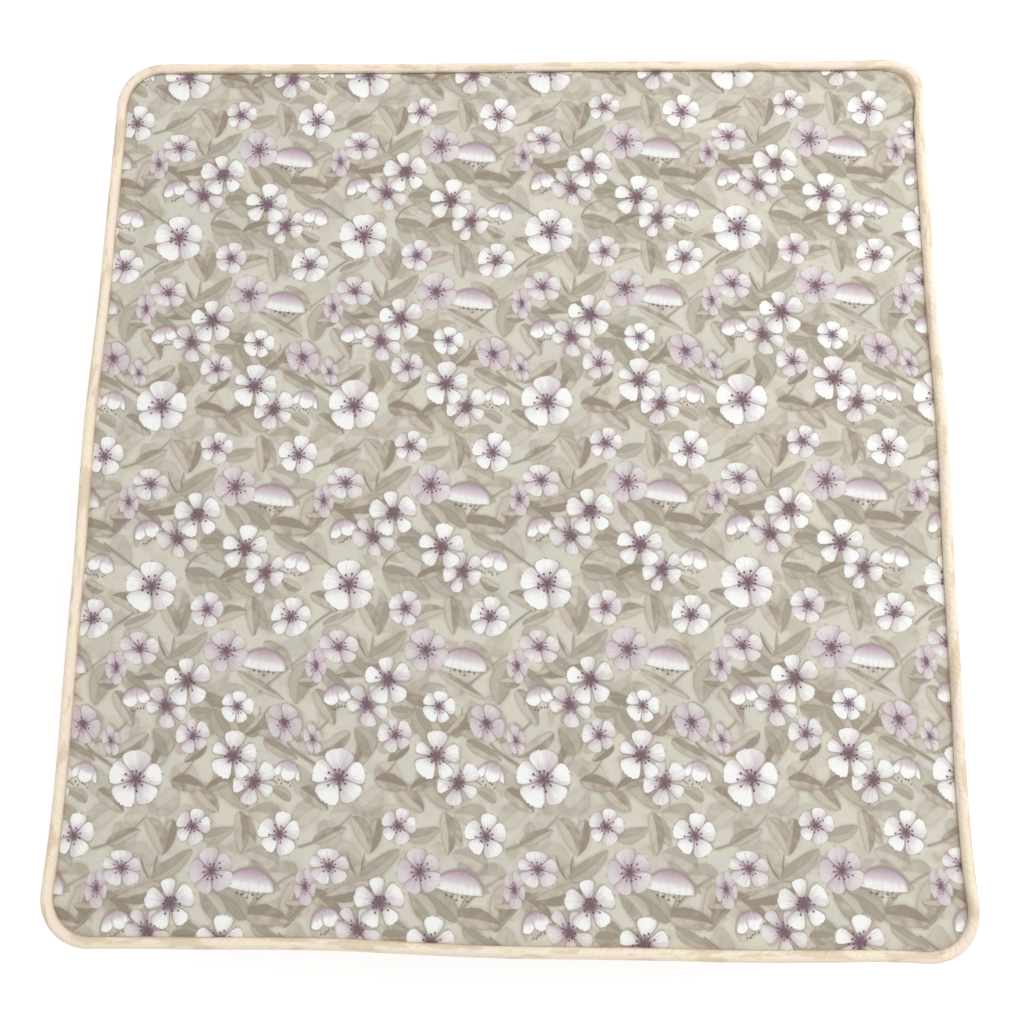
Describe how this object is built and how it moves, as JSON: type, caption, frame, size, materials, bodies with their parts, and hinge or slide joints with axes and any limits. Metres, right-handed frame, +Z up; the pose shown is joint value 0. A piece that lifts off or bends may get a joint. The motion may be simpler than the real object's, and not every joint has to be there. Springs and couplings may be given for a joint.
{
  "type": "packing cube",
  "caption": "Soft rectangular packing cube with a piped flat lid, a zip round three sides and the corners, a cloth hinge along the back wall and a webbing handle.",
  "frame": {"origin": "centre of the base's underside, on the surface that the closed cube rests on", "axes": "+X to the right seen from the front, +Y to the back, where the hinge and the handle are, +Z up through the lid"},
  "size_m": [0.38, 0.4183, 0.1],
  "materials": {
    "printed_cloth": "matte printed cotton",
    "trim_cloth": "matte cotton bias strip",
    "lining_cloth": "smooth matte lining",
    "foam": "soft foam interlining",
    "zip_tape": "woven tape",
    "zip_coil": "dyed plastic coil",
    "webbing": "woven webbing",
    "nickel": "nickel plate"
  },
  "bodies": {
    "base": {"base_panel": "printed_cloth", "base_foam": "foam", "base_lining": "lining_cloth", "base_piping_cover": "trim_cloth", "base_piping_cord": "foam", "base_band": "printed_cloth", "base_band_foam": "foam", "base_band_lining": "lining_cloth", "base_zip_tape": "zip_tape", "base_zip_coil": "zip_coil", "base_seam_binding": "trim_cloth", "hinge_gusset_lower": "printed_cloth", "hinge_gusset_foam": "foam", "hinge_gusset_lining": "lining_cloth", "handle_end_left": "webbing", "handle_end_right": "webbing"},
    "lid": {"lid_panel": "printed_cloth", "lid_foam": "foam", "lid_lining": "lining_cloth", "lid_piping_cover": "trim_cloth", "lid_piping_cord": "foam", "lid_band": "printed_cloth", "lid_zip_tape": "zip_tape", "lid_zip_coil": "zip_coil", "lid_seam_binding": "trim_cloth", "hinge_gusset_upper": "printed_cloth"},
    "left_slider": {"slider_left": "nickel"},
    "right_slider": {"slider_right": "nickel"},
    "left_pull": {"pull_left": "nickel"},
    "right_pull": {"pull_right": "nickel"},
    "handle": {"handle_leg_left": "webbing", "handle_leg_right": "webbing", "handle_grip": "webbing"}
  },
  "joints": [
    {"name": "lid_hinge", "type": "hinge", "parent": "base", "child": "lid", "pos_m": [0, 0.1988, 0.078], "axis": [-1, 0, 0], "range_deg": [0, 180]},
    {"name": "left_slider_run", "type": "slide", "parent": "base", "child": "left_slider", "axis": [-1, 0, 0], "range_m": [0, 0.152]},
    {"name": "right_slider_run", "type": "slide", "parent": "base", "child": "right_slider", "axis": [1, 0, 0], "range_m": [0, 0.152]},
    {"name": "left_pull_flip", "type": "hinge", "parent": "left_slider", "child": "left_pull", "pos_m": [-0.009, -0.20125, 0.078], "axis": [0, 0, 1], "range_deg": [0, 100]},
    {"name": "right_pull_flip", "type": "hinge", "parent": "right_slider", "child": "right_pull", "pos_m": [0.009, -0.20125, 0.078], "axis": [0, 0, -1], "range_deg": [0, 100]},
    {"name": "handle_swing", "type": "hinge", "parent": "base", "child": "handle", "pos_m": [0, 0.1975, 0.034], "axis": [1, 0, 0], "range_deg": [-35, 35], "stiffness_Nm_per_rad": 0.03, "deforming": ["handle_leg_left", "handle_leg_right"]}
  ]
}
